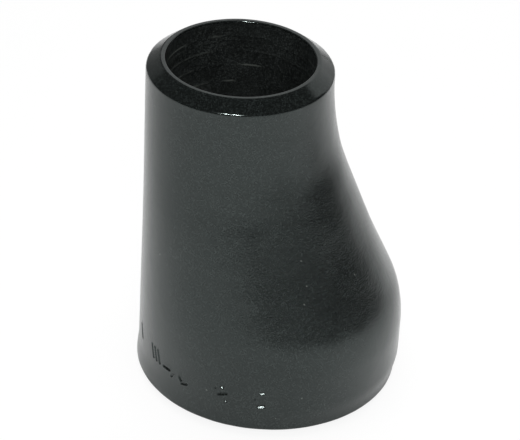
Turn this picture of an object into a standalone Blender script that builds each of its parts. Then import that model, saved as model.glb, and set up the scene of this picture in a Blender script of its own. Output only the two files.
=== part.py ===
"""Butt-weld eccentric reducer for steel pipe, nominal 1 1/2 inch by 1 inch, schedule 40.

One seamless piece, formed from pipe: every level section is a circle, and the circles stay
in line along one side, so that side runs straight while the opposite side swings in.

Frame, in metres: the origin is the centre of the large end's face, +Z runs up to the small
end, and the straight side is at -X.
"""

import math

import bmesh
import bpy
from mathutils import Matrix, Vector

# Pipe ends
LARGE_OD = 0.0483
LARGE_WALL = 0.00368
SMALL_OD = 0.0334
SMALL_WALL = 0.00338

# Body
LENGTH = 0.064  # from end face to end face
LARGE_SKIRT = 0.0117  # from the large end's face to the turn of the steep side
SMALL_SKIRT = 0.003  # from the small end's face to the turn of the steep side
SHOULDER_RADIUS = 0.0205  # convex turn on the steep side, above the large skirt
NECK_RADIUS = 0.050  # concave turn on the steep side, below the small skirt
SWELL = 0.00064  # how far the steep side stands out above the large end's sized rim
DRAW_IN = 0.00032  # how far the straight side dips between the two sized ends
SIZED_RISE = 0.0041  # height over which the swell and the dip begin, above that rim
DRAW_IN_END = 0.0373  # height over which the dip runs out, below the small skirt

# Weld preparation, the same at both ends
BEVEL_ANGLE = math.radians(37.5)  # from the plane of the end face
ROOT_FACE = 0.0012  # flat ring that is left at the bore
EDGE_RADIUS = 0.00025  # machined edges, softened by the coat of paint

# Facets
SEGMENTS = 72  # round the bore
SKIRT_STEPS = 4  # up the rise above the sized rim
TURN_STEPS = 8  # along each of the two turns
RUN_STEPS = 6  # along the straight run between them
CORNER_STEPS = 2  # round each softened edge
SMOOTH_ANGLE = math.radians(50)

# Finish
PAINT_COLOUR = (0.022, 0.024, 0.024, 1.0)
PAINT_ROUGHNESS = 0.32
PAINT_METALLIC = 0.0

LARGE_RADIUS = LARGE_OD / 2
SMALL_RADIUS = SMALL_OD / 2
SMALL_CENTRE_X = SMALL_RADIUS - LARGE_RADIUS
SIZED_RIM = (LARGE_WALL - ROOT_FACE) * math.tan(BEVEL_ANGLE) + EDGE_RADIUS
TAPER_BOTTOM = LARGE_SKIRT
TAPER_TOP = LENGTH - SMALL_SKIRT


def eased(share):
    """0 to 1 with no kink at either end."""
    share = min(1.0, max(0.0, share))
    return share * share * (3.0 - 2.0 * share)


def taper_share(z):
    """0 on the large skirt, 1 on the small one."""
    return min(1.0, max(0.0, (z - TAPER_BOTTOM) / (TAPER_TOP - TAPER_BOTTOM)))


def formed_share(z):
    """0 on the large end's sized rim, 1 on the formed body above it."""
    return eased((z - SIZED_RIM) / SIZED_RISE)


class SteepSide:
    """The side that swings in: a convex arc, a straight run and a concave arc, all tangent."""

    def __init__(self, x_low, x_high, shoulder, neck):
        rise = TAPER_TOP - TAPER_BOTTOM
        shift = x_low - x_high
        # Two arcs that meet with no straight run between them are the largest that fit.
        largest = (rise**2 + shift**2) / (2.0 * shift)
        fit = min(1.0, largest / (shoulder + neck))
        self.shoulder = shoulder * fit
        self.neck = neck * fit
        both = self.shoulder + self.neck
        run = math.sqrt(max(0.0, rise**2 + (both - shift) ** 2 - both**2))
        self.slope = math.atan2(rise, both - shift) - math.atan2(run, both)
        self.x_low = x_low
        self.x_high = x_high
        self.run_bottom = TAPER_BOTTOM + self.shoulder * math.sin(self.slope)
        self.run_top = TAPER_TOP - self.neck * math.sin(self.slope)

    def x(self, z):
        if z <= TAPER_BOTTOM:
            return self.x_low - SWELL * (1.0 - formed_share(z))
        if z >= TAPER_TOP:
            return self.x_high
        if z <= self.run_bottom:
            above = z - TAPER_BOTTOM
            return self.x_low - self.shoulder + math.sqrt(self.shoulder**2 - above**2)
        if z >= self.run_top:
            below = TAPER_TOP - z
            return self.x_high + self.neck - math.sqrt(self.neck**2 - below**2)
        return self.x(self.run_bottom) - (z - self.run_bottom) * math.tan(self.slope)

    def levels(self):
        """Heights of the sections, evenly turned on the arcs and evenly spaced between them."""
        skirt = [SIZED_RIM + SIZED_RISE * step / SKIRT_STEPS for step in range(SKIRT_STEPS + 1)]
        skirt = [z for z in skirt if z < TAPER_BOTTOM]
        turns = [self.slope * step / TURN_STEPS for step in range(TURN_STEPS + 1)]
        rise = self.run_top - self.run_bottom
        convex = [TAPER_BOTTOM + self.shoulder * math.sin(turn) for turn in turns]
        straight = [self.run_bottom + rise * step / RUN_STEPS for step in range(1, RUN_STEPS)]
        concave = [TAPER_TOP - self.neck * math.sin(turn) for turn in reversed(turns)]
        return skirt + convex + straight + concave


def straight_side_x(z):
    """The side at -X: in line with both ends, with a slight dip between them."""
    return -LARGE_RADIUS + DRAW_IN * formed_share(z) * eased((TAPER_TOP - z) / DRAW_IN_END)


def wall_at(z):
    return LARGE_WALL + (SMALL_WALL - LARGE_WALL) * taper_share(z)


def section_between(z, x_left, x_right):
    """(height, centre x, radius) of the circle that spans from x_left to x_right."""
    return z, (x_left + x_right) / 2, (x_right - x_left) / 2


def outer_wall():
    """Sections of the outside between the two weld ends, from the large one up, and its
    steep side."""
    steep = SteepSide(
        LARGE_RADIUS + SWELL,
        SMALL_CENTRE_X + SMALL_RADIUS,
        SHOULDER_RADIUS,
        NECK_RADIUS,
    )
    return [section_between(z, straight_side_x(z), steep.x(z)) for z in steep.levels()], steep


def bore_wall(outside):
    """Sections of the bore between them, from the small end down, one wall in from the outside."""
    steep = SteepSide(
        outside.x_low - LARGE_WALL,
        outside.x_high - SMALL_WALL,
        outside.shoulder - LARGE_WALL,
        outside.neck + SMALL_WALL,
    )
    return [
        section_between(z, straight_side_x(z) + wall_at(z), steep.x(z))
        for z in reversed(steep.levels())
    ]


def softened(before, corner, after):
    """Points of a small arc that replaces a corner of a (radius, height) outline."""
    arrive = (corner - before).normalized()
    leave = (after - corner).normalized()
    turn = arrive.angle(leave)
    reach = EDGE_RADIUS * math.tan(turn / 2)
    start = corner - arrive * reach
    inward = (leave - arrive * arrive.dot(leave)).normalized()
    centre = start + inward * EDGE_RADIUS
    points = []
    for step in range(CORNER_STEPS + 1):
        angle = turn * step / CORNER_STEPS
        points.append(centre + EDGE_RADIUS * (arrive * math.sin(angle) - inward * math.cos(angle)))
    return points


def weld_end(radius, wall, face_z, out):
    """(radius, height) points of a bevelled end, from the outside wall to the bore.

    out is +1 where the end looks up and -1 where it looks down.
    """
    bevel_width = wall - ROOT_FACE
    bevel_height = bevel_width * math.tan(BEVEL_ANGLE)
    outside = Vector((radius, face_z - out * bevel_height))
    root = Vector((radius - bevel_width, face_z))
    bore_edge = Vector((radius - wall, face_z))
    along_wall = Vector((0.0, out * wall))
    return (
        softened(outside - along_wall, outside, root)
        + softened(outside, root, bore_edge)
        + softened(root, bore_edge, bore_edge - along_wall)
    )


def reducer_sections():
    """(height, centre x, radius) of every section: up the outside, over the small end's weld
    face, down the bore and under the large end's weld face."""
    outside, steep = outer_wall()
    small_end = [
        (point.y, SMALL_CENTRE_X, point.x)
        for point in weld_end(SMALL_RADIUS, SMALL_WALL, LENGTH, 1)
    ]
    large_end = [
        (point.y, 0.0, point.x)
        for point in reversed(weld_end(LARGE_RADIUS, LARGE_WALL, 0.0, -1))
    ]
    return outside + small_end + bore_wall(steep) + large_end


def loft(name, sections):
    """A closed tube: one circle is drawn, extruded from section to section, and closed on itself."""
    mesh = bmesh.new()
    z, centre_x, radius = sections[0]
    place = Matrix.Translation((centre_x, 0.0, z))
    bmesh.ops.create_circle(mesh, radius=radius, segments=SEGMENTS, matrix=place)
    first = list(mesh.edges)
    rim = first
    for next_z, next_x, next_radius in sections[1:]:
        made = bmesh.ops.extrude_edge_only(mesh, edges=rim)["geom"]
        rim = [part for part in made if isinstance(part, bmesh.types.BMEdge)]
        points = [part for part in made if isinstance(part, bmesh.types.BMVert)]
        carry = (
            Matrix.Translation((next_x, 0.0, next_z))
            @ Matrix.Scale(next_radius / radius, 4)
            @ Matrix.Translation((-centre_x, 0.0, -z))
        )
        bmesh.ops.transform(mesh, matrix=carry, verts=points)
        z, centre_x, radius = next_z, next_x, next_radius
    bmesh.ops.bridge_loops(mesh, edges=first + rim)
    bmesh.ops.recalc_face_normals(mesh, faces=mesh.faces)
    data = bpy.data.meshes.new(name)
    mesh.to_mesh(data)
    mesh.free()
    data.shade_smooth()
    data.set_sharp_from_angle(angle=SMOOTH_ANGLE)
    return data


def black_paint():
    material = bpy.data.materials.new("black_paint")
    material.use_nodes = True
    shader = material.node_tree.nodes["Principled BSDF"]
    shader.inputs["Base Color"].default_value = PAINT_COLOUR
    shader.inputs["Roughness"].default_value = PAINT_ROUGHNESS
    shader.inputs["Metallic"].default_value = PAINT_METALLIC
    material.diffuse_color = PAINT_COLOUR
    return material


def main():
    for leftover in list(bpy.data.objects):
        bpy.data.objects.remove(leftover)
    data = loft("reducer_body", reducer_sections())
    data.materials.append(black_paint())
    body = bpy.data.objects.new("reducer_body", data)
    bpy.context.scene.collection.objects.link(body)


main()
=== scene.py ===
"""A black-painted butt-weld eccentric reducer in a plain pale studio.

The script is laid out as an add-on and is run as a script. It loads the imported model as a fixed
frame, lofts the fitting again with its fine detail round that frame, and sets up the studio.

Frame, in metres: the origin is the centre of the large end's face, +Z runs up to the small end,
and the straight side is at -X.
"""

import math

import bmesh
import bpy
from bpy.props import FloatProperty, FloatVectorProperty, IntProperty, PointerProperty
from mathutils import Matrix, Vector, noise


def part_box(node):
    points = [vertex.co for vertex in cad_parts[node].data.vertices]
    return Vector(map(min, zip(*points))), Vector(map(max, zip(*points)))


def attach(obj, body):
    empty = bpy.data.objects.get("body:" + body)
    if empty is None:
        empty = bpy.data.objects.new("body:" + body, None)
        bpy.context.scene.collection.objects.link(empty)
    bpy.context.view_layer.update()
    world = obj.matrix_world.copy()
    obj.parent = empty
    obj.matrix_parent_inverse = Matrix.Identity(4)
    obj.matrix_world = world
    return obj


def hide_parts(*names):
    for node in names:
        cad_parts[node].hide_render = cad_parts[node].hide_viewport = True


bl_info = {
    "name": "Eccentric Reducer",
    "version": (1, 0, 0),
    "blender": (4, 5, 0),
    "location": "View3D > Sidebar > Reducer",
    "description": "Lofts a black-painted butt-weld eccentric reducer and lights it in a studio",
    "category": "Add Mesh",
}

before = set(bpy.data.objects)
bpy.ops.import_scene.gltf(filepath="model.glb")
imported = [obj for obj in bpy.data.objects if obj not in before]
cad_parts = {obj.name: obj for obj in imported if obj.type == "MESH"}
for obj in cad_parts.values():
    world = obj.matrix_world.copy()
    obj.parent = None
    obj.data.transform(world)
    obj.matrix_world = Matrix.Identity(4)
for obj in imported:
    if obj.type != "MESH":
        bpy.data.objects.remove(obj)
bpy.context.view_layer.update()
CAD_NODE = "reducer_body"
NODE_LOW, NODE_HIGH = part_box(CAD_NODE)
MM = 0.001

# Material slots of the fitting
WALL_PAINT, END_PAINT, BORE_PAINT = range(3)

PAINT_IOR = 1.55
PAINT_SHEEN_TINT = (0.87, 1.0, 0.975, 1.0)
# Pale colour of dust specks, also used for the painted highlights along the bore's ring crests
PALE_DUST_AND_HIGHLIGHT_COLOUR = (0.10, 0.11, 0.10, 1.0)
PLAIN_BLACK = (0.014, 0.015, 0.015, 1.0)

# Facets
CORNER_STEPS = 5  # round each softened edge
HOLD = 0.06 * MM  # rows this close to an edge keep its shading off the faces beside it
BEVEL_ROWS = 4
SIZED_RIM_HEIGHT = 0.25 * MM  # above the large end's bevel
MARK_CUTS = 8  # cuts in each face under a stamped mark
MARK_ZONE = 4.0 * MM  # how far above the large skirt a mark may reach


# Settings that a user would change


def distance_property(name, text, default, **limits):
    """A length in metres."""
    limits.update(subtype="DISTANCE", precision=6)
    return FloatProperty(name=name, description=text, default=default, **limits)


def angle_property(name, text, degrees, **limits):
    default = math.radians(degrees)
    return FloatProperty(name=name, description=text, default=default, subtype="ANGLE", **limits)


def share_property(name, text, default):
    """A number from 0 to 1."""
    limits = {"min": 0.0, "max": 1.0, "subtype": "FACTOR"}
    return FloatProperty(name=name, description=text, default=default, **limits)


def colour_property(name, text, default):
    limits = {"size": 4, "min": 0.0, "max": 1.0, "subtype": "COLOR"}
    return FloatVectorProperty(name=name, description=text, default=default, **limits)


def brightness_property(name, text, default):
    return FloatProperty(name=name, description=text, default=default, min=0.0)


class ReducerSizes(bpy.types.PropertyGroup):
    """Sizes of the fitting."""

    large_diameter: distance_property(
        "Large Diameter", "Outside diameter of the large end", -2.0 * NODE_LOW.x, min=0.01
    )
    large_wall: distance_property(
        "Large Wall", "Wall thickness at the large end", 3.68 * MM, min=0.001
    )
    small_diameter: distance_property(
        "Small Diameter", "Outside diameter of the small end", 33.4 * MM, min=0.01
    )
    small_wall: distance_property(
        "Small Wall", "Wall thickness at the small end", 3.38 * MM, min=0.001
    )
    length: distance_property(
        "Length", "From end face to end face", NODE_HIGH.z - NODE_LOW.z, min=0.01
    )
    large_skirt: distance_property(
        "Large Skirt",
        "From the large end's face to the turn of the steep side",
        11.7 * MM,
        min=0.0,
    )
    small_skirt: distance_property(
        "Small Skirt",
        "From the small end's face to the turn of the steep side",
        3.0 * MM,
        min=0.0,
    )
    shoulder_radius: distance_property(
        "Shoulder Radius",
        "Convex turn on the steep side, above the large skirt",
        20.5 * MM,
        min=0.001,
    )
    neck_radius: distance_property(
        "Neck Radius",
        "Concave turn on the steep side, below the small skirt",
        50.0 * MM,
        min=0.001,
    )
    swell: distance_property(
        "Swell",
        "How far the steep side stands out above the large end's sized rim",
        0.64 * MM,
        min=0.0,
    )
    draw_in: distance_property(
        "Draw In", "How far the straight side dips between the two sized ends", 0.32 * MM, min=0.0
    )
    sized_rise: distance_property(
        "Sized Rise",
        "Height over which the swell and the dip begin, above that rim",
        4.1 * MM,
        min=0.001,
    )
    draw_in_end: distance_property(
        "Draw In End",
        "Height over which the dip runs out, below the small skirt",
        37.3 * MM,
        min=0.001,
    )
    bevel_angle: angle_property(
        "Bevel Angle",
        "Angle of the weld bevel from the plane of the end face",
        37.5,
        min=0.0,
        max=math.radians(60.0),
    )
    large_root_face: distance_property(
        "Large Root Face",
        "Width of the flat ring that is left at the bore of the large end",
        1.2 * MM,
        min=0.0,
    )
    small_root_face: distance_property(
        "Small Root Face",
        "Width of the flat ring that is left at the bore of the small end",
        0.90 * MM,
        min=0.0,
    )
    unevenness: distance_property(
        "Unevenness",
        "Height of the shallow waves that forming leaves in the wall",
        0.10 * MM,
        min=0.0,
        max=1.0 * MM,
    )
    mark_depth: distance_property(
        "Mark Depth",
        "Depth of a stamped stroke of the usual width",
        0.265 * MM,
        min=0.0,
        max=0.5 * MM,
    )
    mark_width: distance_property(
        "Mark Width", "Width of a stamped stroke", 0.60 * MM, min=0.1 * MM
    )
    columns: IntProperty(
        name="Columns",
        description="Faces round each circle",
        default=180,
        min=24,
        max=360,
    )
    row_height: distance_property(
        "Row Height", "Height of one row of faces on the walls", 0.85 * MM, min=0.2 * MM
    )


class PaintFinish(bpy.types.PropertyGroup):
    """Colours and gloss of the coat of paint."""

    wall_colour: colour_property(
        "Wall Colour", "Paint on the outside wall", (0.0062, 0.0076, 0.0073, 1.0)
    )
    end_colour: colour_property(
        "End Colour", "Paint on the weld bevels and end faces", (0.0042, 0.0052, 0.0050, 1.0)
    )
    # The bore's colour is paler than the outside coat's: painted light that stands in for the light
    # the bore lacks
    bore_colour: colour_property(
        "Bore Colour", "Paint inside the bore", (0.0185, 0.0210, 0.0202, 1.0)
    )
    wall_roughness: share_property(
        "Wall Roughness", "Gloss of the outside wall, 0 for a mirror and 1 for chalk", 0.21
    )
    end_roughness: share_property("End Roughness", "Gloss of the weld bevels and end faces", 0.15)
    bore_roughness: share_property("Bore Roughness", "Gloss inside the bore", 0.32)


class StudioSettings(bpy.types.PropertyGroup):
    """Floor, light and camera."""

    floor_size: FloatProperty(
        name="Floor Size",
        description="Width of the floor",
        default=4.0,
        min=0.5,
        subtype="DISTANCE",
    )
    floor_colour: colour_property(
        "Floor Colour", "Colour of the plain floor", (0.90, 0.90, 0.90, 1.0)
    )
    wash_strength: brightness_property(
        "Floor Wash", "Brightness of the large soft light over the floor", 2.55
    )
    flash_strength: brightness_property("Flash", "Brightness of the light above the camera", 14.0)
    key_strength: brightness_property(
        "Key", "Brightness of the two small lights that edges catch", 290.0
    )
    room_strength: brightness_property("Room", "Brightness of the room above the horizon", 0.12)
    camera_azimuth: angle_property(
        "Camera Azimuth", "Turn of the camera round the fitting, from the -Y side", 11.50
    )
    camera_elevation: angle_property(
        "Camera Elevation", "Height of the camera above the horizon", 33.25
    )
    camera_roll: angle_property("Camera Roll", "Tilt of the camera about its line of sight", 3.23)
    camera_distance: distance_property(
        "Camera Distance", "From the camera to the point it looks at", 0.4598, min=0.1
    )
    camera_lens: FloatProperty(
        name="Lens",
        description="Focal length in millimetres on a 36 mm wide sensor",
        default=174.95,
        min=10.0,
    )
    look_right: distance_property(
        "Look Right", "How far right of the fitting's centre the camera looks", -2.39 * MM
    )
    look_up: distance_property(
        "Look Up", "How far above the fitting's centre the camera looks", -0.68 * MM
    )


# Form of the fitting


def eased(share):
    """0 to 1 with no kink at either end."""
    share = min(1.0, max(0.0, share))
    return share * share * (3.0 - 2.0 * share)


def blended(low, high, share):
    return low + (high - low) * min(1.0, max(0.0, share))


class SteepSide:
    """The side that swings in: a convex arc, a straight run and a concave arc, all tangent."""

    def __init__(self, bottom, top, x_low, x_high, shoulder, neck):
        rise = top - bottom
        shift = x_low - x_high
        # Two arcs that meet with no straight run between them are the largest that fit.
        largest = (rise**2 + shift**2) / (2.0 * shift)
        fit = min(1.0, largest / (shoulder + neck))
        self.bottom = bottom
        self.top = top
        self.x_low = x_low
        self.x_high = x_high
        self.shoulder = shoulder * fit
        self.neck = neck * fit
        both = self.shoulder + self.neck
        run = math.sqrt(max(0.0, rise**2 + (both - shift) ** 2 - both**2))
        self.slope = math.atan2(rise, both - shift) - math.atan2(run, both)
        self.run_bottom = bottom + self.shoulder * math.sin(self.slope)
        self.run_top = top - self.neck * math.sin(self.slope)

    def x(self, z):
        if z <= self.bottom:
            return self.x_low
        if z >= self.top:
            return self.x_high
        if z <= self.run_bottom:
            above = z - self.bottom
            return self.x_low - self.shoulder + math.sqrt(self.shoulder**2 - above**2)
        if z >= self.run_top:
            below = self.top - z
            return self.x_high + self.neck - math.sqrt(self.neck**2 - below**2)
        return self.x(self.run_bottom) - (z - self.run_bottom) * math.tan(self.slope)


class ReducerForm:
    """Every level section is a circle, and the circles stay in line along the straight side."""

    def __init__(self, sizes):
        self.length = sizes.length
        self.large_radius = sizes.large_diameter / 2
        self.small_radius = sizes.small_diameter / 2
        self.large_wall = sizes.large_wall
        self.small_wall = sizes.small_wall
        self.small_centre_x = self.small_radius - self.large_radius
        self.bottom = sizes.large_skirt
        self.top = sizes.length - sizes.small_skirt
        self.swell = sizes.swell
        self.draw_in = sizes.draw_in
        self.sized_rise = sizes.sized_rise
        self.draw_in_end = sizes.draw_in_end
        self.bevel_slope = math.tan(sizes.bevel_angle)
        self.large_bevel = (sizes.large_wall - sizes.large_root_face) * self.bevel_slope
        self.small_bevel = (sizes.small_wall - sizes.small_root_face) * self.bevel_slope
        self.sized_rim = self.large_bevel + SIZED_RIM_HEIGHT
        self.outside = SteepSide(
            self.bottom,
            self.top,
            self.large_radius + self.swell,
            self.small_centre_x + self.small_radius,
            sizes.shoulder_radius,
            sizes.neck_radius,
        )
        self.inside = SteepSide(
            self.bottom,
            self.top,
            self.outside.x_low - self.large_wall,
            self.outside.x_high - self.small_wall,
            self.outside.shoulder - self.large_wall,
            self.outside.neck + self.small_wall,
        )

    def formed_share(self, z):
        """0 on the large end's sized rim, 1 on the formed body above it."""
        return eased((z - self.sized_rim) / self.sized_rise)

    def straight_side_x(self, z):
        dip = self.formed_share(z) * eased((self.top - z) / self.draw_in_end)
        return -self.large_radius + self.draw_in * dip

    def steep_side_x(self, z, side):
        return side.x(z) - self.swell * (1.0 - self.formed_share(z))

    def wall_at(self, z):
        share = (z - self.bottom) / (self.top - self.bottom)
        return blended(self.large_wall, self.small_wall, share)

    def outer_circle(self, z):
        """(centre x, radius) of the outside at a height."""
        left = self.straight_side_x(z)
        right = self.steep_side_x(z, self.outside)
        return (left + right) / 2, (right - left) / 2

    def bore_circle(self, z):
        """(centre x, radius) of the bore at a height."""
        left = self.straight_side_x(z) + self.wall_at(z)
        right = self.steep_side_x(z, self.inside)
        return (left + right) / 2, (right - left) / 2


# Edges of the weld preparation, softened by the coat of paint
BEVEL_EDGE_RADIUS = 0.65 * MM
ROOT_EDGE_RADIUS = 0.65 * MM
BORE_EDGE_RADIUS = 0.22 * MM


def softened(before, corner, after, radius):
    """Points of a small arc that replaces a corner, with one more close to it on either side."""
    arrive = (corner - before).normalized()
    leave = (after - corner).normalized()
    turn = arrive.angle(leave)
    reach = radius * math.tan(turn / 2)
    start = corner - arrive * reach
    inward = (leave - arrive * arrive.dot(leave)).normalized()
    centre = start + inward * radius
    points = [start - arrive * HOLD]
    for step in range(CORNER_STEPS + 1):
        angle = turn * step / CORNER_STEPS
        points.append(centre + radius * (arrive * math.sin(angle) - inward * math.cos(angle)))
    points.append(corner + leave * (reach + HOLD))
    return points


def weld_end(form, radius, wall, bevel_height, face_z, out):
    """(radius, height) points of a bevelled end, from the outside wall to the bore.

    out is +1 where the end looks up and -1 where it looks down.
    """
    outside = Vector((radius, face_z - out * bevel_height))
    root = Vector((radius - bevel_height / form.bevel_slope, face_z))
    bore_edge = Vector((radius - wall, face_z))
    along_wall = Vector((0.0, out * wall))
    first = softened(outside - along_wall, outside, root, BEVEL_EDGE_RADIUS)
    second = softened(outside, root, bore_edge, ROOT_EDGE_RADIUS)
    third = softened(root, bore_edge, bore_edge - along_wall, BORE_EDGE_RADIUS)
    bevel = [
        first[-1].lerp(second[0], step / BEVEL_ROWS)
        for step in range(1, BEVEL_ROWS)
    ]
    return first + bevel + second + third


def levels_between(low, high, spacing, extra=()):
    """Evenly spaced heights from low to high, both left out, with extra ones among them."""
    count = max(2, round((high - low) / spacing))
    even = [low + (high - low) * step / count for step in range(1, count)]
    near = 0.3 * spacing
    kept = [z for z in even if all(abs(z - other) > near for other in extra)]
    return sorted(kept + [z for z in extra if low < z < high])


# Rings that drawing and sizing left in the bore, by depth below the small end's face
BORE_RING_DEPTHS = [depth * MM for depth in (3.0, 3.9, 6.1, 9.0, 12.5, 17.0, 24.0, 33.0, 45.0)]
BORE_RING_HEIGHT = 0.04 * MM
BORE_RING_REACH = 0.18 * MM
# Half width of the painted highlight that runs along each ring's crest in the bore's colour
RING_HIGHLIGHT_HALF_WIDTH = 0.14 * MM


def ring_levels(form):
    shares = (-1.0, -0.5, 0.0, 0.5, 1.0)
    return [
        form.length - depth + share * BORE_RING_REACH
        for depth in BORE_RING_DEPTHS
        for share in shares
    ]


def reducer_rows(form, spacing):
    """(height, centre x, radius, finish) of every circle: up the outside, over the small end,
    down the bore and under the large end."""
    top = weld_end(form, form.small_radius, form.small_wall, form.small_bevel, form.length, 1)
    bottom = weld_end(form, form.large_radius, form.large_wall, form.large_bevel, 0.0, -1)
    rows = []
    for z in levels_between(bottom[0].y, top[0].y, spacing):
        rows.append((z, *form.outer_circle(z), WALL_PAINT))
    for index, point in enumerate(top):
        finish = WALL_PAINT if index == 0 else END_PAINT
        rows.append((point.y, form.small_centre_x, point.x, finish))
    down = levels_between(bottom[-1].y, top[-1].y, spacing, ring_levels(form))
    for z in reversed(down):
        rows.append((z, *form.bore_circle(z), BORE_PAINT))
    for index, point in enumerate(reversed(bottom)):
        finish = BORE_PAINT if index == 0 else END_PAINT
        rows.append((point.y, 0.0, point.x, finish))
    return rows


def lofted_tube(rows, columns):
    """A closed tube: one circle is drawn, extruded from row to row, and closed on itself."""
    mesh = bmesh.new()
    z, centre_x, radius, _ = rows[0]
    place = Matrix.Translation((centre_x, 0.0, z))
    bmesh.ops.create_circle(mesh, radius=radius, segments=columns, matrix=place)
    first = list(mesh.edges)
    rim = first
    for next_z, next_x, next_radius, finish in rows[1:]:
        made = bmesh.ops.extrude_edge_only(mesh, edges=rim)["geom"]
        rim = [part for part in made if isinstance(part, bmesh.types.BMEdge)]
        points = [part for part in made if isinstance(part, bmesh.types.BMVert)]
        for face in made:
            if isinstance(face, bmesh.types.BMFace):
                face.material_index = finish
        carry = (
            Matrix.Translation((next_x, 0.0, next_z))
            @ Matrix.Scale(next_radius / radius, 4)
            @ Matrix.Translation((-centre_x, 0.0, -z))
        )
        bmesh.ops.transform(mesh, matrix=carry, verts=points)
        z, centre_x, radius = next_z, next_x, next_radius
    for face in bmesh.ops.bridge_loops(mesh, edges=first + rim)["faces"]:
        face.material_index = WALL_PAINT
    bmesh.ops.recalc_face_normals(mesh, faces=mesh.faces)
    return mesh


# Stamped marks near the large end: plain ticks and dots, none of them a character


def ticks(count, pitch, height, lean):
    """Parallel strokes, in millimetres about their middle."""
    middles = [pitch * (step - (count - 1) / 2) for step in range(count)]
    return [((x + lean / 2, height / 2), (x - lean / 2, -height / 2)) for x in middles]


def stamped_marks():
    """(angle round the skirt, height, width, strokes) of each mark; the angle is in degrees,
    the height in millimetres and the width a share of the usual one."""
    return [
        (207.6, 9.9, 1.2, ticks(1, 0.0, 2.3, -1.0)),
        (224.2, 9.5, 1.05, ticks(3, 1.1, 2.5, -0.75)),
        (232.7, 8.5, 1.2, ticks(1, 0.0, 0.1, 1.7)),
        (236.6, 7.9, 1.0, ticks(1, 0.0, 0.8, 0.5)),
        (241.4, 8.2, 1.2, ticks(1, 0.0, 0.6, -0.4)),
        (243.7, 7.5, 1.0, ticks(1, 0.0, 0.4, 1.3)),
        (259.4, 9.6, 0.9, ticks(1, 0.0, 0.02, 0.02)),
        (262.4, 10.1, 1.2, ticks(1, 0.0, 0.10, -0.3)),
        (262.6, 8.6, 1.0, ticks(1, 0.0, 0.5, 1.6)),
        (264.2, 7.2, 0.9, ticks(1, 0.0, 0.14, -0.4)),
        (277.0, 8.8, 0.9, ticks(1, 0.0, 0.02, 0.02)),
        (279.9, 10.1, 1.0, ticks(1, 0.0, 0.04, 0.75)),
        (279.6, 7.2, 1.35, ticks(1, 0.0, 0.12, 1.0)),
    ]


# Lip round a stroke, in half widths of the stroke
LIP_PLACE = 1.3
LIP_WIDTH = 0.3
LIP_HEIGHT = 0.07
MARK_MARGIN = 2.6  # beyond it a stroke changes nothing


class StampedMarks:
    """Depth of the stamped strokes at any point of the skirt."""

    def __init__(self, form, sizes):
        self.slope = 2.0 * sizes.mark_depth / sizes.mark_width
        self.strokes = []
        for degrees, height, width, strokes in stamped_marks():
            middle = Vector((math.radians(degrees) * form.large_radius, height * MM))
            for start, end in strokes:
                ends = middle + Vector(start) * MM, middle + Vector(end) * MM
                self.strokes.append((*ends, width * sizes.mark_width / 2))

    def near(self, point):
        for start, end, half_width in self.strokes:
            margin = MARK_MARGIN * half_width
            if min(start.x, end.x) - margin < point.x < max(start.x, end.x) + margin:
                if min(start.y, end.y) - margin < point.y < max(start.y, end.y) + margin:
                    yield start, end, half_width

    def rise(self, point):
        """Height of the surface over the plain wall: a V-shaped groove with a slight lip."""
        groove = 0.0
        lip = 0.0
        for start, end, half_width in self.near(point):
            run = end - start
            along = min(1.0, max(0.0, (point - start).dot(run) / run.length_squared))
            away = (point - start - run * along).length / half_width
            groove = max(groove, (1.0 - away) * half_width)
            bulge = math.exp(-(((away - LIP_PLACE) / LIP_WIDTH) ** 2))
            lip = max(lip, LIP_HEIGHT * half_width * bulge)
        return self.slope * (lip if groove == 0.0 else -groove)


def skirt_point(position, centre_x, radius):
    """Where a point lies on the wall: the arc's length round the skirt, and the height."""
    angle = math.atan2(position.y, position.x - centre_x) % math.tau
    return Vector((angle * radius, position.z))


def refine_under_marks(mesh, form, marks):
    """Fine faces where the stamped strokes are."""
    edges = set()
    for face in mesh.faces:
        middle = face.calc_center_median()
        if face.material_index == WALL_PAINT and middle.z < form.bottom + MARK_ZONE:
            point = skirt_point(middle, form.outer_circle(middle.z)[0], form.large_radius)
            if any(True for _ in marks.near(point)):
                edges.update(face.edges)
    bmesh.ops.subdivide_edges(mesh, edges=list(edges), cuts=MARK_CUTS, use_grid_fill=True)


# Slight faults of a formed wall


def wave(position, size, seed):
    """Smooth noise between about -1 and 1, with waves of a given size."""
    return noise.noise(position / size + Vector((seed, 2.3 * seed, 4.1 * seed)))


# Ripple that the press leaves down the steep side
RIPPLE_HEIGHT = 0.14 * MM
RIPPLE_LENGTH = 25.0 * MM
RIPPLE_MIDDLE = 31.0 * MM
RIPPLE_END = 0.72  # where it has run out, in lengths from its middle
RIPPLE_FADE = 0.27

# Shallow waves of the formed wall, which fade towards the two sized ends
BROAD_WAVE = 9.0 * MM
SMALL_WAVE = 4.2 * MM
SMALL_WAVE_SHARE = 0.4
CALM_SHARE = 0.25  # of their strength that is left on the straight side
SIZED_END = 3.0 * MM
WAVE_FADE = 9.0 * MM

# Hollow on the front of the steep side
HOLLOW_DEPTH = 0.30 * MM
HOLLOW_ANGLE = math.radians(-45.0)
HOLLOW_WIDTH = math.radians(38.0)
HOLLOW_MIDDLE = 32.0 * MM
HOLLOW_REACH = 9.0 * MM

# Finer faults: (height, size of the waves)
NICKS = 0.035 * MM, 3.4 * MM, 1.5 * MM  # with the size of finer ones among them
NICK_REACH = 0.7 * MM
BEVEL_WAVES = 0.03 * MM, 4.5 * MM
BORE_WAVES = 0.012 * MM, 3.0 * MM
RING_BREAKS = 11.0 * MM


def press_ripple(z, angle):
    away = abs(z - RIPPLE_MIDDLE) / RIPPLE_LENGTH
    along = -math.cos(math.tau * away) * eased((RIPPLE_END - away) / RIPPLE_FADE)
    return RIPPLE_HEIGHT * along * eased(math.cos(angle))


def hollow_rise(z, angle):
    across = math.remainder(angle - HOLLOW_ANGLE, math.tau) / HOLLOW_WIDTH
    along = (z - HOLLOW_MIDDLE) / HOLLOW_REACH
    return -HOLLOW_DEPTH * math.exp(-0.5 * (across**2 + along**2))


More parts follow.
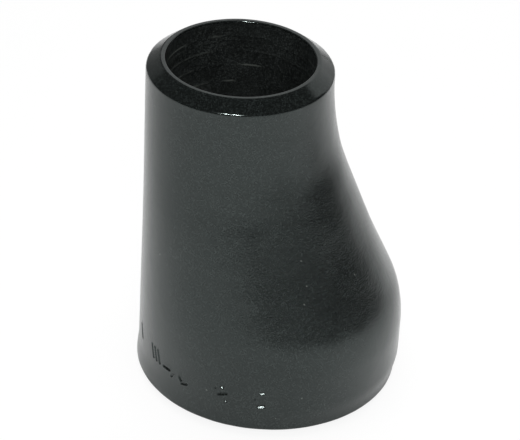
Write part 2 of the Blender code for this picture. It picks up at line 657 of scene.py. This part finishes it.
def wall_rise(position, angle, form, amount):
    """Shallow waves, stronger on the side that swings in, with the ripple and the hollow."""
    z = position.z
    ends = eased((z - SIZED_END) / WAVE_FADE)
    ends *= eased((form.length - SIZED_END - z) / WAVE_FADE)
    strength = blended(CALM_SHARE, 1.0, 0.5 + 0.5 * math.cos(angle))
    waves = wave(position, BROAD_WAVE, 3.0) + SMALL_WAVE_SHARE * wave(position, SMALL_WAVE, 7.0)
    return amount * ends * strength * waves + hollow_rise(z, angle) + press_ripple(z, angle)


def edge_rise(position, form):
    """Nicks and flats along the outer edge of each bevel."""
    small_edge = form.length - form.small_bevel
    away = min(abs(position.z - small_edge), abs(position.z - form.large_bevel))
    share = math.exp(-((away / NICK_REACH) ** 2))
    if share < 0.01:
        return 0.0
    height, size, finer_size = NICKS
    along = wave(position, size, 11.0) + 0.5 * wave(position, finer_size, 13.0)
    return height * share * along


def bevel_rise(position, form):
    """The bevels are turned and painted by hand, and wave a little round their circles."""
    height, size = BEVEL_WAVES
    return edge_rise(position, form) + height * wave(position, size, 29.0)


def ring_rise(position, form):
    """Rings in the bore, each one clear only along part of its circle."""
    depth = form.length - position.z
    height, size = BORE_WAVES
    rise = height * wave(position, size, 23.0)
    for index, ring in enumerate(BORE_RING_DEPTHS):
        away = abs(depth - ring)
        if away < BORE_RING_REACH:
            profile = 0.5 + 0.5 * math.cos(math.pi * away / BORE_RING_REACH)
            level = Vector((position.x, position.y, 0.0))
            along = wave(level, RING_BREAKS, 17.0 + index)
            rise += BORE_RING_HEIGHT * profile * eased(0.5 + 1.2 * along)
    return rise


def work_walls(mesh, form, marks, amount):
    """Moves the points of the walls in and out, each along its own circle's radius."""
    for point in mesh.verts:
        finishes = {face.material_index for face in point.link_faces}
        position = point.co.copy()
        if BORE_PAINT in finishes:
            if END_PAINT in finishes:
                continue
            centre_x, radius = form.bore_circle(position.z)
            rise = -ring_rise(position, form)
        elif WALL_PAINT in finishes:
            centre_x, radius = form.outer_circle(position.z)
            angle = math.atan2(position.y, position.x - centre_x)
            rise = wall_rise(position, angle, form, amount) + edge_rise(position, form)
            if position.z < form.bottom + MARK_ZONE:
                rise += marks.rise(skirt_point(position, centre_x, form.large_radius))
        else:
            centre_x = form.small_centre_x if position.z > form.length / 2 else 0.0
            radius = math.hypot(position.x - centre_x, position.y)
            rise = bevel_rise(position, form)
        out = Vector((position.x - centre_x, position.y, 0.0)).normalized()
        if END_PAINT in finishes:
            radius = math.hypot(position.x - centre_x, position.y)
        point.co = Vector((centre_x, 0.0, position.z)) + out * (radius + rise)


# Shader nodes

# Spacing of the nodes in the editor
COLUMN = 220
ROW = 180


def add_node(tree, kind, column, row, **values):
    """A node in its place in the editor, with its plain values set."""
    node = tree.nodes.new(kind)
    node.location = (column * COLUMN, -row * ROW)
    for name, value in values.items():
        setattr(node, name, value)
    return node


def feed(tree, node, **inputs):
    """Sets or links the inputs of a node; a blank in a socket's name is an underscore."""
    for name, value in inputs.items():
        socket = node.inputs[name.replace("_", " ")]
        if isinstance(value, bpy.types.NodeSocket):
            tree.links.new(value, socket)
        else:
            socket.default_value = value
    return node


def calculate(tree, operation, column, row, *terms):
    """A Math node, whose terms are numbers or sockets."""
    node = add_node(tree, "ShaderNodeMath", column, row, operation=operation)
    for socket, term in zip(node.inputs, terms):
        if isinstance(term, bpy.types.NodeSocket):
            tree.links.new(term, socket)
        else:
            socket.default_value = term
    return node.outputs["Value"]


def ramp(tree, value, low, high, from_value, to_value, column, row):
    """A smooth rise or fall of a value between two limits."""
    node = add_node(tree, "ShaderNodeMapRange", column, row, interpolation_type="SMOOTHSTEP")
    feed(tree, node, Value=value, From_Min=low, From_Max=high, To_Min=from_value, To_Max=to_value)
    return node.outputs["Result"]


def object_position(tree, column, row):
    return add_node(tree, "ShaderNodeTexCoord", column, row).outputs["Object"]


def axes_of(tree, place, column, row):
    """The X, Y and Z of a place."""
    parts = add_node(tree, "ShaderNodeSeparateXYZ", column, row)
    return feed(tree, parts, Vector=place).outputs


def scaled(tree, colour, factor, column, row):
    """A colour made brighter or darker."""
    node = add_node(tree, "ShaderNodeVectorMath", column, row, operation="SCALE")
    return feed(tree, node, Vector=colour, Scale=factor).outputs["Vector"]


def new_group(name, inputs, outputs):
    """A node group with its sockets, what comes in through them and the node they leave by.

    inputs holds the defaults. Each socket is a number, apart from one that is named Colour.
    """
    group = bpy.data.node_groups.new(name, "ShaderNodeTree")
    for side, labels in (("INPUT", inputs), ("OUTPUT", outputs)):
        for label in labels:
            kind = "NodeSocketColor" if label == "Colour" else "NodeSocketFloat"
            socket = group.interface.new_socket(name=label, in_out=side, socket_type=kind)
            if side == "INPUT":
                socket.default_value = inputs[label]
    given = add_node(group, "NodeGroupInput", 0, 0).outputs
    return group, given, add_node(group, "NodeGroupOutput", 9, 0)


def tone_drift_group():
    """Slow drift of colour and gloss over a painted surface."""
    inputs = {"Colour": PLAIN_BLACK, "Gloss": 0.25, "Patch Scale": 120.0, "Strength": 0.3}
    group, given, leave = new_group("Tone Drift", inputs, ["Colour", "Roughness"])
    patches = add_node(group, "ShaderNodeTexNoise", 1, 1)
    place = object_position(group, 0, 2)
    feed(group, patches, Vector=place, Scale=given["Patch Scale"], Detail=4.0)
    centred = calculate(group, "SUBTRACT", 2, 1, patches.outputs["Fac"], 0.5)
    swing = calculate(group, "MULTIPLY", 3, 1, centred, given["Strength"])
    brighter = calculate(group, "MULTIPLY_ADD", 4, 0, swing, 2.0, 1.0)
    duller = calculate(group, "MULTIPLY_ADD", 4, 2, swing, 0.6, 1.0)
    feed(
        group,
        leave,
        Colour=scaled(group, given["Colour"], brighter, 5, 0),
        Roughness=calculate(group, "MULTIPLY", 5, 2, duller, given["Gloss"]),
    )
    return group


def paint_skin_group():
    """Height of sprayed paint: soft orange peel under a fine grain."""
    inputs = {"Peel Scale": 900.0, "Peel Share": 0.6, "Grain Scale": 3500.0, "Grain Share": 0.4}
    group, given, leave = new_group("Paint Skin", inputs, ["Height"])
    place = object_position(group, 0, 2)
    parts = []
    for kind, detail, row in (("Peel", 2.5, 0), ("Grain", 2.0, 2)):
        bumps = add_node(group, "ShaderNodeTexNoise", 1, row)
        feed(group, bumps, Vector=place, Scale=given[kind + " Scale"], Detail=detail)
        height = bumps.outputs["Fac"]
        parts.append(calculate(group, "MULTIPLY", 2, row, height, given[kind + " Share"]))
    feed(group, leave, Height=calculate(group, "ADD", 3, 1, *parts))
    return group


def fine_flecks_group():
    """Colour of paint whose grains differ: most are a little darker, a few much paler."""
    inputs = {"Colour": PLAIN_BLACK, "Fleck Scale": 4200.0, "Strength": 0.5}
    group, given, leave = new_group("Fine Flecks", inputs, ["Colour"])
    cells = add_node(group, "ShaderNodeTexVoronoi", 1, 1)
    feed(group, cells, Vector=object_position(group, 0, 2), Scale=given["Fleck Scale"])
    parts = add_node(group, "ShaderNodeSeparateColor", 2, 1)
    feed(group, parts, Color=cells.outputs["Color"])
    few = calculate(group, "POWER", 3, 1, parts.outputs["Green"], 3.0)
    swing = calculate(group, "MULTIPLY_ADD", 4, 1, few, 4.0, -1.0)
    brighter = calculate(group, "MULTIPLY_ADD", 5, 1, swing, given["Strength"], 1.0)
    feed(group, leave, Colour=scaled(group, given["Colour"], brighter, 6, 0))
    return group


def turned_lines_group():
    """Height of the lines that a turning tool leaves round the axis of either end."""
    inputs = {"Pitch": 0.25 * MM, "Small Centre X": 0.0, "Middle Height": 0.03}
    group, given, leave = new_group("Turned Lines", inputs, ["Height"])
    axes = axes_of(group, object_position(group, 0, 2), 1, 1)
    upper = calculate(group, "GREATER_THAN", 2, 0, axes["Z"], given["Middle Height"])
    centre = calculate(group, "MULTIPLY", 3, 0, upper, given["Small Centre X"])
    flat = add_node(group, "ShaderNodeCombineXYZ", 5, 0)
    feed(group, flat, X=calculate(group, "SUBTRACT", 4, 0, axes["X"], centre), Y=axes["Y"])
    radius = add_node(group, "ShaderNodeVectorMath", 6, 0, operation="LENGTH")
    feed(group, radius, Vector=flat.outputs["Vector"])
    along = calculate(group, "ADD", 6, 1, radius.outputs["Value"], axes["Z"])
    lines = add_node(group, "ShaderNodeTexNoise", 8, 1, noise_dimensions="1D")
    turns = calculate(group, "DIVIDE", 7, 1, along, given["Pitch"])
    feed(group, lines, W=turns, Scale=1.0, Detail=3.0)
    feed(group, leave, Height=lines.outputs["Fac"])
    return group


def dust_specks_group():
    """Sparse pale specks of dust and paint nibs."""
    inputs = {"Speck Scale": 700.0, "Speck Size": 0.10, "Share": 0.04}
    group, given, leave = new_group("Dust Specks", inputs, ["Mask"])
    cells = add_node(group, "ShaderNodeTexVoronoi", 1, 1)
    feed(group, cells, Vector=object_position(group, 0, 2), Scale=given["Speck Scale"])
    parts = add_node(group, "ShaderNodeSeparateColor", 2, 2)
    feed(group, parts, Color=cells.outputs["Color"])
    chosen = calculate(group, "LESS_THAN", 3, 2, parts.outputs["Red"], given["Share"])
    inside = calculate(group, "LESS_THAN", 3, 0, cells.outputs["Distance"], given["Speck Size"])
    feed(group, leave, Mask=calculate(group, "MULTIPLY", 4, 1, chosen, inside))
    return group


def place_group(tree, group, column, row, **inputs):
    node = add_node(tree, "ShaderNodeGroup", column, row, node_tree=group)
    return feed(tree, node, **inputs)


def new_material(name, colour):
    """A material with its Principled shader; the plain colour is for the solid view."""
    material = bpy.data.materials.new(name)
    material.use_nodes = True
    material.diffuse_color = colour
    tree = material.node_tree
    shader = tree.nodes["Principled BSDF"]
    feed(tree, shader, IOR=PAINT_IOR, Specular_Tint=PAINT_SHEEN_TINT)
    shader.location = (7 * COLUMN, 0)
    tree.nodes["Material Output"].location = (9 * COLUMN, 0)
    return material, tree, shader


def bump_from(tree, height, depth, column, row):
    bump = add_node(tree, "ShaderNodeBump", column, row)
    feed(tree, bump, Strength=1.0, Distance=depth, Height=height)
    return bump.outputs["Normal"]


def dust_and_highlight_colour(tree, colour, mask, column, row):
    """The paint's colour made pale where the mask is: dust specks, and painted highlights on the
    bore's ring crests.
    """
    mix = add_node(tree, "ShaderNodeMix", column, row, data_type="RGBA")
    feed(tree, mix, Factor=mask)
    tree.links.new(colour, mix.inputs[6])
    mix.inputs[7].default_value = PALE_DUST_AND_HIGHLIGHT_COLOUR
    return mix.outputs[2]


FLECK_SCALE = 5600.0


def add_coat(name, colour, gloss, groups, drift, peel, flecks):
    """A new material with the nodes that every coat of paint has, and its colour and height."""
    material, tree, shader = new_material(name, colour)
    tone = place_group(tree, groups["tone"], 1, 0, Colour=colour, Gloss=gloss, **drift)
    skin = place_group(tree, groups["skin"], 1, 3, **peel)
    grains = place_group(tree, groups["flecks"], 3, 0, Fleck_Scale=FLECK_SCALE, Strength=flecks)
    feed(tree, grains, Colour=tone.outputs["Colour"])
    feed(tree, shader, Roughness=tone.outputs["Roughness"])
    return material, tree, shader, grains.outputs["Colour"], skin.outputs["Height"]


def finish_coat(tree, shader, colour, specks, height, depth):
    """Feeds the shader the colour, made pale at dust specks and at painted highlights, and the
    relief.
    """
    feed(
        tree,
        shader,
        Base_Color=dust_and_highlight_colour(tree, colour, specks, 5, 0),
        Normal=bump_from(tree, height, depth, 5, 3),
    )


def turned_height(tree, groups, form, pitch, share, skin):
    """Height of the skin over turned lines."""
    lines = place_group(tree, groups["lines"], 1, 5, Pitch=pitch, Middle_Height=form.length / 2)
    feed(tree, lines, Small_Centre_X=form.small_centre_x)
    return calculate(tree, "MULTIPLY_ADD", 3, 4, lines.outputs["Height"], share, skin)


def wall_paint(finish, groups):
    """Satin black paint on the formed wall."""
    material, tree, shader, colour, skin = add_coat(
        "satin_black_wall",
        finish.wall_colour,
        finish.wall_roughness,
        groups,
        {"Patch_Scale": 110.0, "Strength": 0.35},
        {"Peel_Scale": 380.0, "Peel_Share": 0.9, "Grain_Scale": 3600.0, "Grain_Share": 1.0},
        0.95,
    )
    dust = place_group(tree, groups["dust"], 1, 5, Speck_Scale=700.0, Speck_Size=0.11, Share=0.03)
    finish_coat(tree, shader, colour, dust.outputs["Mask"], skin, 0.035 * MM)
    return material


def end_paint(finish, groups, form):
    """Smoother paint over the turned bevels and end faces."""
    material, tree, shader, colour, skin = add_coat(
        "satin_black_ends",
        finish.end_colour,
        finish.end_roughness,
        groups,
        {"Patch_Scale": 240.0, "Strength": 0.3},
        {"Peel_Scale": 1100.0, "Peel_Share": 0.5, "Grain_Scale": 3600.0, "Grain_Share": 0.3},
        0.8,
    )
    height = turned_height(tree, groups, form, 0.22 * MM, 0.5, skin)
    dust = place_group(tree, groups["dust"], 1, 7, Speck_Scale=520.0, Speck_Size=0.085, Share=0.02)
    finish_coat(tree, shader, colour, dust.outputs["Mask"], height, 0.008 * MM)
    return material


# Where the painted highlights on the rings' crests show: noise that favours the front, and the
# limits it shows between
RING_NOISE_SCALE = 150.0
RING_FRONT_BIAS = -12.0  # per metre along Y
RING_SHOWN = (0.40, 0.56, 0.0, 1.2)


def painted_ring_highlights(tree, form):
    """Mask of painted highlights along the crests of the bore's rings, each clear only along part
    of its circle.
    """
    place = object_position(tree, 0, 9)
    axes = axes_of(tree, place, 1, 9)
    crests = add_node(tree, "ShaderNodeValToRGB", 3, 9)
    feed(tree, crests, Fac=calculate(tree, "DIVIDE", 2, 9, axes["Z"], form.length))
    stops = crests.color_ramp.elements
    stops[1].color = stops[0].color
    for depth in BORE_RING_DEPTHS:
        for side, level in ((-1, 0.0), (0, 1.0), (1, 0.0)):
            stop = stops.new(1.0 - (depth + side * RING_HIGHLIGHT_HALF_WIDTH) / form.length)
            stop.color = (level, level, level, 1.0)
    breaks = add_node(tree, "ShaderNodeTexNoise", 1, 11)
    feed(tree, breaks, Vector=place, Scale=RING_NOISE_SCALE, Detail=2.0)
    bias = calculate(tree, "MULTIPLY", 2, 11, axes["Y"], RING_FRONT_BIAS)
    clear = calculate(tree, "ADD", 3, 11, bias, breaks.outputs["Fac"])
    shown = ramp(tree, clear, *RING_SHOWN, 4, 11)
    return calculate(tree, "MULTIPLY", 4, 9, crests.outputs["Color"], shown)


def bore_paint(finish, groups, form):
    """Thin rough paint over the drawn bore."""
    material, tree, shader, colour, skin = add_coat(
        "dull_black_bore",
        finish.bore_colour,
        finish.bore_roughness,
        groups,
        {"Patch_Scale": 200.0, "Strength": 0.5},
        {"Peel_Scale": 600.0, "Peel_Share": 0.6, "Grain_Scale": 2600.0, "Grain_Share": 0.6},
        0.6,
    )
    height = turned_height(tree, groups, form, 0.5 * MM, 0.6, skin)
    # Pale lines along the rings' crests in the bore's colour are painted highlights.
    finish_coat(tree, shader, colour, painted_ring_highlights(tree, form), height, 0.016 * MM)
    return material


# Studio

WHITE = (1.0, 1.0, 1.0, 1.0)


def direction_from(azimuth, elevation):
    """Unit vector towards a place round the fitting; azimuth 0 is the -Y side."""
    return Vector(
        (
            math.sin(azimuth) * math.cos(elevation),
            -math.cos(azimuth) * math.cos(elevation),
            math.sin(elevation),
        )
    )


def link_object(name, data):
    made = bpy.data.objects.new(name, data)
    bpy.context.scene.collection.objects.link(made)
    return made


def add_lamp(name, place, aim, width, height, radiance, mirrored):
    """A soft rectangular light, which either shows in reflections or lights matt surfaces."""
    light = bpy.data.lights.new(name, "AREA")
    light.shape = "RECTANGLE"
    light.size = width
    light.size_y = height
    light.energy = radiance * math.pi * width * height
    lamp = link_object(name, light)
    lamp.location = place
    lamp.rotation_mode = "QUATERNION"
    lamp.rotation_quaternion = (place - aim).to_track_quat("Z", "Y")
    lamp.visible_camera = False
    lamp.visible_glossy = mirrored
    lamp.visible_diffuse = not mirrored


# How much of its shading the floor keeps in the picture, where it is burnt out to white
FLOOR_SHADE = 0.10
FLOOR_PAINTED_DIM_SPOT = (0.010, -0.045, 0.0)

# Painted light and shade in the floor's colour, where the paint mirrors the floor: two places, and
# a factor at each
FLOOR_FRONT = (0.012, 0.050, 0.84, 1.03)  # by the distance from the dim spot
FLOOR_NEAR = (0.030, 0.080, 1.13, 1.0)  # by the distance from the fitting's axis
FLOOR_LEFT = (-0.11, -0.06, 0.93, 1.0)  # along X
FLOOR_RIGHT = (0.06, 0.18, 0.0, 0.38)  # along X, what is taken off
FLOOR_BACK = (-0.03, 0.06, 0.0, 1.0)  # along Y, how much of that is taken off


def add_floor(studio):
    mesh = bmesh.new()
    bmesh.ops.create_grid(mesh, x_segments=8, y_segments=8, size=studio.floor_size / 2)
    data = bpy.data.meshes.new("studio_floor")
    mesh.to_mesh(data)
    mesh.free()
    material, tree, shader = new_material("plain_floor", studio.floor_colour)
    feed(tree, shader, Roughness=1.0, Specular_IOR_Level=0.0)
    place = add_node(tree, "ShaderNodeNewGeometry", 0, 0).outputs["Position"]
    axes = axes_of(tree, place, 1, 1)
    away = add_node(tree, "ShaderNodeVectorMath", 1, 0, operation="DISTANCE")
    feed(tree, away, Vector=place)
    away.inputs[1].default_value = FLOOR_PAINTED_DIM_SPOT
    reach = add_node(tree, "ShaderNodeVectorMath", 1, 3, operation="LENGTH")
    feed(tree, reach, Vector=place)
    # The floor's colour carries painted shade in a spot in front of the fitting, a painted glow
    # round its foot, and painted shade far to the left and to the right towards the back
    front = ramp(tree, away.outputs["Value"], *FLOOR_FRONT, 2, 0)
    near = ramp(tree, reach.outputs["Value"], *FLOOR_NEAR, 2, 3)
    left = ramp(tree, axes["X"], *FLOOR_LEFT, 2, 4)
    level = calculate(tree, "MULTIPLY", 4, 0, front, calculate(tree, "MULTIPLY", 3, 3, near, left))
    right = ramp(tree, axes["X"], *FLOOR_RIGHT, 2, 1)
    back = ramp(tree, axes["Y"], *FLOOR_BACK, 2, 2)
    dim = calculate(tree, "MULTIPLY", 3, 1, right, back)
    bright = calculate(tree, "SUBTRACT", 4, 1, 1.0, dim)
    painted_floor_light = calculate(tree, "MULTIPLY", 5, 0, level, bright)
    feed(tree, shader, Base_Color=scaled(tree, studio.floor_colour[:3], painted_floor_light, 6, 0))
    path = add_node(tree, "ShaderNodeLightPath", 5, 2)
    glare = add_node(tree, "ShaderNodeEmission", 6, 2)
    feed(tree, glare, Color=WHITE)
    share = calculate(tree, "MULTIPLY", 6, 1, path.outputs["Is Camera Ray"], 1.0 - FLOOR_SHADE)
    mix = add_node(tree, "ShaderNodeMixShader", 8, 0)
    feed(tree, mix, Fac=share)
    tree.links.new(shader.outputs["BSDF"], mix.inputs[1])
    tree.links.new(glare.outputs["Emission"], mix.inputs[2])
    feed(tree, tree.nodes["Material Output"], Surface=mix.outputs["Shader"])
    data.materials.append(material)
    floor = link_object("studio_floor", data)


SCREEN_DISTANCE = 0.21
SCREEN_BACK = 0.20  # how far it reaches behind the fitting
SCREEN_FRONT = 0.45
SCREEN_HEIGHT = 0.14
SCREEN_GREY = (0.16, 0.17, 0.17, 1.0)  # in the solid view

# How the screen runs: two places, and a value at each
SCREEN_TONE = (-0.20, 0.02, 0.58, 0.18)  # grey along Y
SCREEN_FOOT = (-0.15, 0.15, 0.0408, 0.0)  # height of its lower edge along Y
SCREEN_EDGE = (-0.002, 0.006, 0.0, 1.0)  # how solid it is, by the height over that edge
SCREEN_END = (0.13, SCREEN_BACK, 1.0, 0.0)  # and along Y


def add_dark_screen():
    """A grey screen at the right that only reflections see, thin towards the floor and its ends."""
    mesh = bmesh.new()
    bmesh.ops.create_grid(mesh, x_segments=1, y_segments=1, size=0.5)
    width = SCREEN_FRONT + SCREEN_BACK
    bmesh.ops.scale(mesh, vec=(width, SCREEN_HEIGHT, 1.0), verts=mesh.verts)
    data = bpy.data.meshes.new("grey_screen")
    mesh.to_mesh(data)
    mesh.free()
    material, tree, shader = new_material("screen_grey", SCREEN_GREY)
    feed(tree, shader, Roughness=1.0, Specular_IOR_Level=0.0)
    place = add_node(tree, "ShaderNodeNewGeometry", 0, 1).outputs["Position"]
    axes = axes_of(tree, place, 1, 1)
    tone = ramp(tree, axes["Y"], *SCREEN_TONE, 2, 0)
    foot = ramp(tree, axes["Y"], *SCREEN_FOOT, 2, 1)
    above = calculate(tree, "SUBTRACT", 3, 1, axes["Z"], foot)
    up = ramp(tree, above, *SCREEN_EDGE, 4, 1)
    end = ramp(tree, axes["Y"], *SCREEN_END, 2, 3)
    feed(tree, shader, Base_Color=tone, Alpha=calculate(tree, "MULTIPLY", 5, 1, up, end))
    data.materials.append(material)
    screen = link_object("grey_screen", data)
    screen.location = (SCREEN_DISTANCE, (SCREEN_BACK - SCREEN_FRONT) / 2, SCREEN_HEIGHT / 2)
    screen.rotation_euler = (math.pi / 2, 0.0, math.pi / 2)
    screen.visible_camera = False
    screen.visible_diffuse = False
    screen.visible_shadow = False


ROOM_TINT = (1.0, 1.02, 1.01)


def add_room_light(strength):
    """Even light from the room; the camera itself sees a pale backdrop."""
    world = bpy.data.worlds.new("studio_room")
    bpy.context.scene.world = world
    world.use_nodes = True
    tree = world.node_tree
    backdrop = tree.nodes["Background"]
    backdrop.location = (4 * COLUMN, 0)
    tree.nodes["World Output"].location = (5 * COLUMN, 0)
    path = add_node(tree, "ShaderNodeLightPath", 0, 0)
    mix = add_node(tree, "ShaderNodeMix", 2, 0, data_type="RGBA")
    feed(tree, mix, Factor=path.outputs["Is Camera Ray"])
    mix.inputs[6].default_value = [strength * share for share in ROOM_TINT] + [1.0]
    mix.inputs[7].default_value = WHITE
    feed(tree, backdrop, Color=mix.outputs[2])


WASH_MIDDLE = Vector((-0.01, 0.03, 0.0))
WASH_HEIGHT = 0.65
WASH_WIDTH = 0.8
KEY_WIDE_SHARE = 1.5  # of the small one's brightness
CARD_DISTANCE = 1.2


def add_lights(studio, centre):
    above = Vector((0.0, 0.0, WASH_HEIGHT))
    add_lamp(
        "floor_wash",
        WASH_MIDDLE + above,
        WASH_MIDDLE,
        WASH_WIDTH,
        WASH_WIDTH,
        studio.wash_strength,
        False,
    )
    wide = studio.key_strength * KEY_WIDE_SHARE
    # In front: (name, azimuth, elevation, distance, width, height, brightness, mirrored)
    for name, azimuth, elevation, distance, *rest in (
        ("flash", 11.5, 44.0, 0.8, 0.22, 0.22, studio.flash_strength, False),
        ("key_wide", 7.3, 40.7, 0.7, 0.045, 0.045, wide, True),
        ("key_small", -4.2, 40.7, 0.7, 0.030, 0.045, studio.key_strength, True),
    ):
        away = direction_from(math.radians(azimuth), math.radians(elevation)) * distance
        add_lamp(name, centre + away, centre, *rest)
    # Cards behind: (name, azimuth, from and to height, width, brightness)
    for name, azimuth, low, high, width, radiance in (
        ("back_card_low", 159.5, 0.0, 0.30, 1.47, 0.50),
        ("back_card_high", 165.5, 0.30, 1.20, 1.84, 0.66),
        ("left_card", 228.0, 0.0, 0.65, 0.80, 0.14),
    ):
        middle = Vector((0.0, 0.0, (low + high) / 2))
        away = direction_from(math.radians(azimuth), 0.0) * CARD_DISTANCE
        add_lamp(name, middle + away, middle, width, high - low, radiance, True)


def add_camera(studio, centre):
    azimuth = studio.camera_azimuth
    back = direction_from(azimuth, studio.camera_elevation)
    right = Vector((math.cos(azimuth), math.sin(azimuth), 0.0))
    up = back.cross(right)
    aim = centre + right * studio.look_right + up * studio.look_up
    turned_right = right * math.cos(studio.camera_roll) + up * math.sin(studio.camera_roll)
    turned_up = back.cross(turned_right)
    data = bpy.data.cameras.new("studio_camera")
    data.sensor_width = 36.0
    data.lens = studio.camera_lens
    data.clip_start = 0.01
    data.clip_end = 10.0
    camera = link_object("studio_camera", data)
    camera.matrix_world = (
        Matrix.Translation(aim + back * studio.camera_distance)
        @ Matrix((turned_right, turned_up, back)).transposed().to_4x4()
    )
    bpy.context.scene.camera = camera


# Operators, panel and registration


class MESH_OT_add_reducer(bpy.types.Operator):
    """Loft the fitting with its fine detail, and paint it"""

    bl_idname = "mesh.add_eccentric_reducer"
    bl_label = "Eccentric Reducer"
    bl_options = {"REGISTER", "UNDO"}

    def execute(self, context):
        sizes = context.scene.reducer_sizes
        finish = context.scene.reducer_finish
        form = ReducerForm(sizes)
        mesh = lofted_tube(reducer_rows(form, sizes.row_height), sizes.columns)
        marks = StampedMarks(form, sizes)
        refine_under_marks(mesh, form, marks)
        work_walls(mesh, form, marks, sizes.unevenness)
        bmesh.ops.triangulate(mesh, faces=[face for face in mesh.faces if len(face.verts) > 4])
        data = bpy.data.meshes.new("formed_body")
        mesh.to_mesh(data)
        mesh.free()
        data.shade_smooth()
        groups = {
            "tone": tone_drift_group(),
            "skin": paint_skin_group(),
            "flecks": fine_flecks_group(),
            "lines": turned_lines_group(),
            "dust": dust_specks_group(),
        }
        data.materials.append(wall_paint(finish, groups))
        data.materials.append(end_paint(finish, groups, form))
        data.materials.append(bore_paint(finish, groups, form))
        body = link_object("formed_body", data)
        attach(body, "root")
        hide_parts(CAD_NODE)
        return {"FINISHED"}


class SCENE_OT_add_studio(bpy.types.Operator):
    """Add the floor, the lights, the room and the camera"""

    bl_idname = "scene.add_reducer_studio"
    bl_label = "Studio"
    bl_options = {"REGISTER", "UNDO"}

    def execute(self, context):
        studio = context.scene.reducer_studio
        centre = Vector((0.0, 0.0, (NODE_LOW.z + NODE_HIGH.z) / 2))
        add_floor(studio)
        add_dark_screen()
        add_room_light(studio.room_strength)
        add_lights(studio, centre)
        add_camera(studio, centre)
        context.scene.view_settings.view_transform = "Standard"
        context.scene.view_settings.look = "None"
        return {"FINISHED"}


class VIEW3D_PT_reducer(bpy.types.Panel):
    """Sizes, finish and studio of the reducer"""

    bl_label = "Eccentric Reducer"
    bl_idname = "VIEW3D_PT_reducer"
    bl_space_type = "VIEW_3D"
    bl_region_type = "UI"
    bl_category = "Reducer"

    def draw(self, context):
        layout = self.layout
        layout.operator(MESH_OT_add_reducer.bl_idname)
        layout.operator(SCENE_OT_add_studio.bl_idname)
        for title, settings in (
            ("Sizes", context.scene.reducer_sizes),
            ("Finish", context.scene.reducer_finish),
            ("Studio", context.scene.reducer_studio),
        ):
            box = layout.box()
            box.label(text=title)
            for name in settings.__annotations__:
                box.prop(settings, name)


CLASSES = (
    ReducerSizes,
    PaintFinish,
    StudioSettings,
    MESH_OT_add_reducer,
    SCENE_OT_add_studio,
    VIEW3D_PT_reducer,
)


def register():
    for cls in CLASSES:
        bpy.utils.register_class(cls)
    bpy.types.Scene.reducer_sizes = PointerProperty(type=ReducerSizes)
    bpy.types.Scene.reducer_finish = PointerProperty(type=PaintFinish)
    bpy.types.Scene.reducer_studio = PointerProperty(type=StudioSettings)


def unregister():
    del bpy.types.Scene.reducer_studio
    del bpy.types.Scene.reducer_finish
    del bpy.types.Scene.reducer_sizes
    for cls in reversed(CLASSES):
        bpy.utils.unregister_class(cls)


def main():
    register()
    bpy.ops.mesh.add_eccentric_reducer()
    bpy.ops.scene.add_reducer_studio()


if __name__ == "__main__":
    main()
